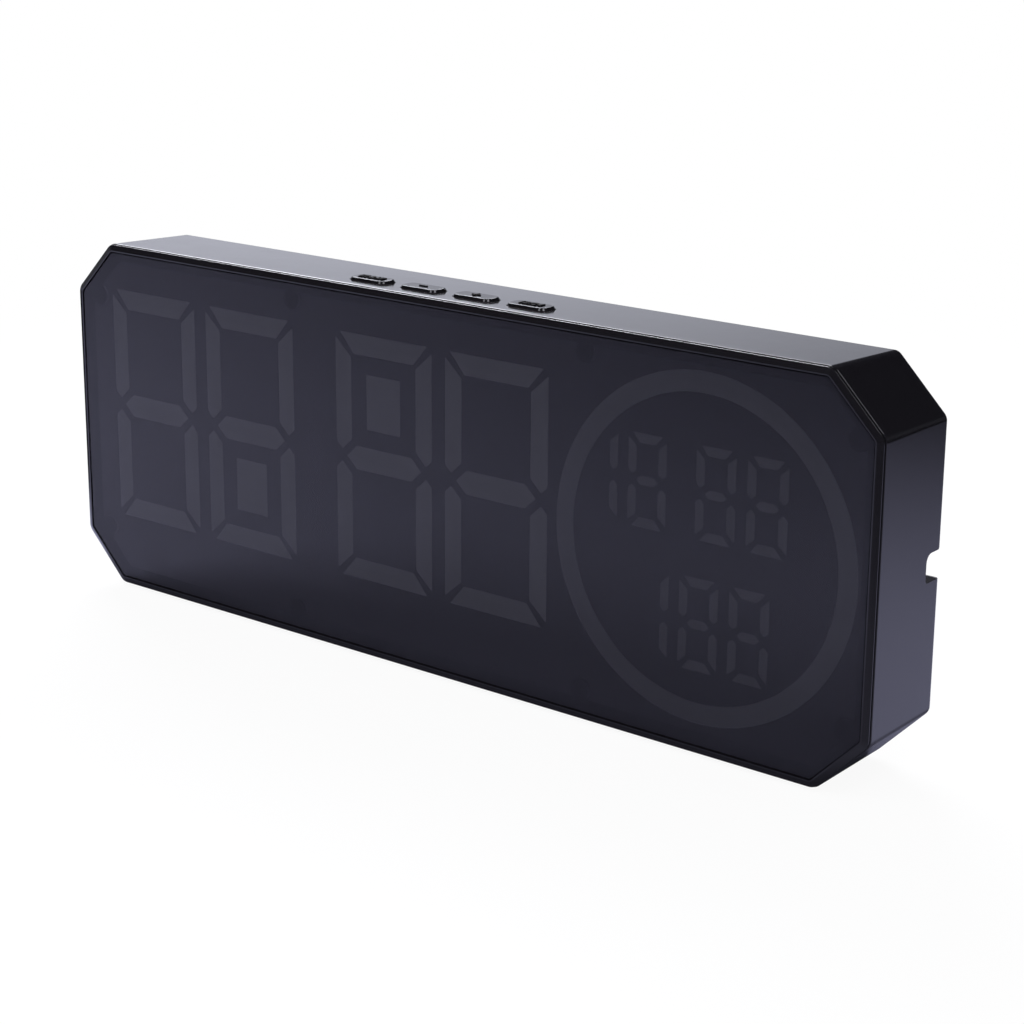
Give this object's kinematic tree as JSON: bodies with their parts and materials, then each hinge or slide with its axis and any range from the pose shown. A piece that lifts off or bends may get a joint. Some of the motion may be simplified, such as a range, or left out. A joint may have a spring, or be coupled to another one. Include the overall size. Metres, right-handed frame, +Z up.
{
  "type": "digital alarm clock",
  "caption": "Desk and wall digital clock: eight-sided black housing, smoked lens over large segment figures and a ring, push buttons on top, cable channel in the back.",
  "frame": {"origin": "on the surface that the clock stands on, under the middle of the housing", "axes": "+X along the clock to its right-hand side seen from the front, +Y from the face to the back, +Z up"},
  "size_m": [0.304, 0.034, 0.1156],
  "materials": {
    "housing": "smooth glossy black ABS",
    "frame": "smooth glossy black ABS",
    "button": "glossy black ABS with raised marks",
    "lens": "smoked acrylic, semi-gloss",
    "mask": "matt black moulding",
    "light_piece": "milky diffusing resin, unlit",
    "light_source": "small moulded light source",
    "circuit_board": "green solder mask",
    "chip": "black moulded package",
    "steel": "bright zinc-plated steel",
    "contact": "plated spring brass",
    "wire": "red insulation",
    "plug": "natural nylon",
    "foot": "soft black rubber"
  },
  "bodies": {
    "clock": {"rear_housing": "housing", "front_frame": "frame", "display_lens": "lens", "light_mask": "mask", "hour_tens_segments": "light_piece", "hour_ones_segments": "light_piece", "minute_tens_segments": "light_piece", "minute_ones_segments": "light_piece", "square_lights": "light_piece", "ring_light": "light_piece", "upper_row_segments": "light_piece", "lower_row_segments": "light_piece", "display_board": "circuit_board", "segment_leds": "light_source", "ring_leds": "light_source", "controller_chip": "chip", "driver_chips": "chip", "clock_crystal": "steel", "smoothing_capacitor": "chip", "buzzer": "chip", "temperature_sensor": "contact", "board_screws": "steel", "switch_cases": "steel", "button_board": "circuit_board", "button_board_screws": "steel", "button_plug": "plug", "board_plug": "plug", "ribbon_cable": "plug", "power_jack": "chip", "jack_pin": "steel", "jack_wires": "wire", "coin_cell": "steel", "cell_leaf": "contact", "cell_clip": "contact", "cell_wires": "wire", "housing_screws": "steel", "left_foot": "foot", "right_foot": "foot"},
    "left_key": {"left_button": "button", "left_plunger": "chip"},
    "minus_key": {"minus_button": "button", "minus_plunger": "chip"},
    "plus_key": {"plus_button": "button", "plus_plunger": "chip"},
    "right_key": {"right_button": "button", "right_plunger": "chip"},
    "door": {"battery_door": "housing", "door_screws": "steel"}
  },
  "joints": [
    {"name": "left_press", "type": "slide", "parent": "clock", "child": "left_key", "axis": [0, 0, -1], "range_m": [0, 0.0005], "stiffness_N_per_m": 2000},
    {"name": "minus_press", "type": "slide", "parent": "clock", "child": "minus_key", "axis": [0, 0, -1], "range_m": [0, 0.0005], "stiffness_N_per_m": 2000},
    {"name": "plus_press", "type": "slide", "parent": "clock", "child": "plus_key", "axis": [0, 0, -1], "range_m": [0, 0.0005], "stiffness_N_per_m": 2000},
    {"name": "right_press", "type": "slide", "parent": "clock", "child": "right_key", "axis": [0, 0, -1], "range_m": [0, 0.0005], "stiffness_N_per_m": 2000},
    {"name": "door_lift", "type": "slide", "parent": "clock", "child": "door", "axis": [0, 1, 0], "range_m": [0, 0.02]}
  ]
}
